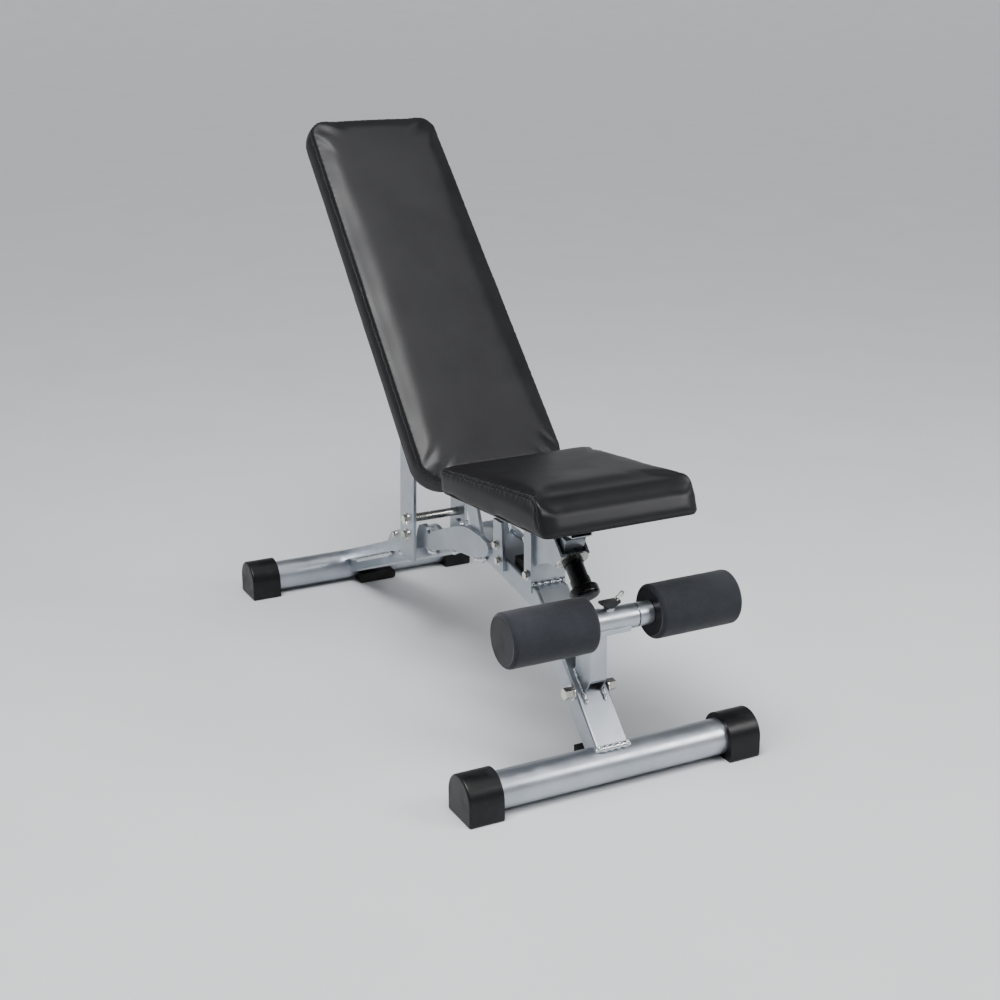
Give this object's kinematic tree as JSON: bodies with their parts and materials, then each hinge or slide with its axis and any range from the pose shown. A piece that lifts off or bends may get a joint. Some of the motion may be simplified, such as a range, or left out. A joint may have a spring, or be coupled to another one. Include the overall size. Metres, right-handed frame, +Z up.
{
  "type": "adjustable weight bench",
  "caption": "Adjustable weight bench: padded seat and backrest on a bent tube frame, with a prop strut over a ladder, a seat pop-pin and foam leg rollers.",
  "frame": {"origin": "middle of the footprint, on the floor", "axes": "+Z up; +Y from the leg rollers towards the backrest; +X to the right of a person sitting down, which is the side with the longer stretch of bare roller bar"},
  "size_m": [0.526, 1.12, 0.965],
  "materials": {
    "frame_paint": "silver metallic satin",
    "cap_plastic": "black, slightly glossy",
    "knob_plastic": "black gloss",
    "zinc_steel": "bright zinc",
    "seat_vinyl": "black vinyl, fine grain, semi-gloss",
    "back_vinyl": "black vinyl, fine grain, satin",
    "board_wood": "backing board wrapped in black vinyl",
    "foam": "matte charcoal foam",
    "stop_rubber": "matte black rubber"
  },
  "bodies": {
    "frame": {"front_foot_tube": "frame_paint", "rear_foot_tube": "frame_paint", "front_foot_cap_left": "cap_plastic", "front_foot_cap_right": "cap_plastic", "rear_foot_cap_left": "cap_plastic", "rear_foot_cap_right": "cap_plastic", "front_leg": "frame_paint", "main_beam": "frame_paint", "ladder_plate_left": "frame_paint", "ladder_plate_right": "frame_paint", "hinge_uprights": "frame_paint", "rear_plates": "frame_paint", "hinge_bolt": "zinc_steel", "seat_bracket": "frame_paint", "seat_lugs": "frame_paint", "seat_hinge_bolt": "zinc_steel", "pin_plate": "frame_paint", "pin_flange": "zinc_steel", "pin_barrel": "knob_plastic", "roller_bar": "frame_paint", "roller_sleeve": "frame_paint", "roller_collar": "frame_paint", "roller_post": "frame_paint", "roller_cradle": "frame_paint", "rubber_stops": "stop_rubber", "welds_front": "frame_paint", "welds_ladder": "frame_paint", "frame_bolts": "zinc_steel"},
    "seat": {"seat_pad": "seat_vinyl", "seat_board": "board_wood", "seat_rail": "frame_paint", "seat_hinge_sleeve": "frame_paint", "seat_strap": "frame_paint", "seat_webs": "frame_paint", "seat_braces": "frame_paint", "seat_screws": "zinc_steel"},
    "seat_pin": {"pin_plunger": "zinc_steel", "pin_knob": "knob_plastic"},
    "backrest": {"backrest_pad": "back_vinyl", "backrest_board": "board_wood", "backrest_rail": "frame_paint", "backrest_hinge_sleeve": "frame_paint", "backrest_rail_plug": "cap_plastic", "backrest_braces": "frame_paint", "backrest_screws": "zinc_steel", "strut_lugs": "frame_paint", "strut_pivot_sleeve": "frame_paint"},
    "prop_strut": {"strut_left": "frame_paint", "strut_right": "frame_paint", "strut_rod": "zinc_steel", "strut_pivot_bolt": "zinc_steel", "strut_bolts": "zinc_steel"},
    "roller_left": {"roller_foam_left": "foam", "roller_core_left": "cap_plastic"},
    "roller_right": {"roller_foam_right": "foam", "roller_core_right": "cap_plastic"},
    "lock_pin": {"lock_pin_shaft": "zinc_steel", "lock_pin_knob": "knob_plastic", "lock_pin_bail": "zinc_steel"}
  },
  "joints": [
    {"name": "backrest_tilt", "type": "hinge", "parent": "frame", "child": "backrest", "pos_m": [0, -0.071, 0.376], "axis": [1, 0, 0], "range_deg": [-46, 24]},
    {"name": "strut_pivot", "type": "hinge", "parent": "backrest", "child": "prop_strut", "pos_m": [0, 0.1158, 0.52], "axis": [1, 0, 0], "range_deg": [-46.6, 89.3]},
    {"name": "seat_tilt", "type": "hinge", "parent": "frame", "child": "seat", "pos_m": [0, -0.345, 0.383], "axis": [1, 0, 0], "range_deg": [-13, 13]},
    {"name": "seat_pin_pull", "type": "slide", "parent": "frame", "child": "seat_pin", "axis": [0, -0.7071, -0.7071], "range_m": [0, 0.01], "stiffness_N_per_m": 800, "springref_m": -0.006},
    {"name": "roller_left_spin", "type": "hinge", "parent": "frame", "child": "roller_left", "pos_m": [0, -0.516, 0.2728], "axis": [1, 0, 0], "continuous": true},
    {"name": "roller_right_spin", "type": "hinge", "parent": "frame", "child": "roller_right", "pos_m": [0, -0.516, 0.2728], "axis": [1, 0, 0], "continuous": true},
    {"name": "lock_pin_lift", "type": "slide", "parent": "frame", "child": "lock_pin", "axis": [0, 0, 1], "range_m": [0, 0.02]}
  ],
  "couplings": [
    {"joint": "strut_pivot", "follows": "backrest_tilt", "ratio": -1.94}
  ]
}
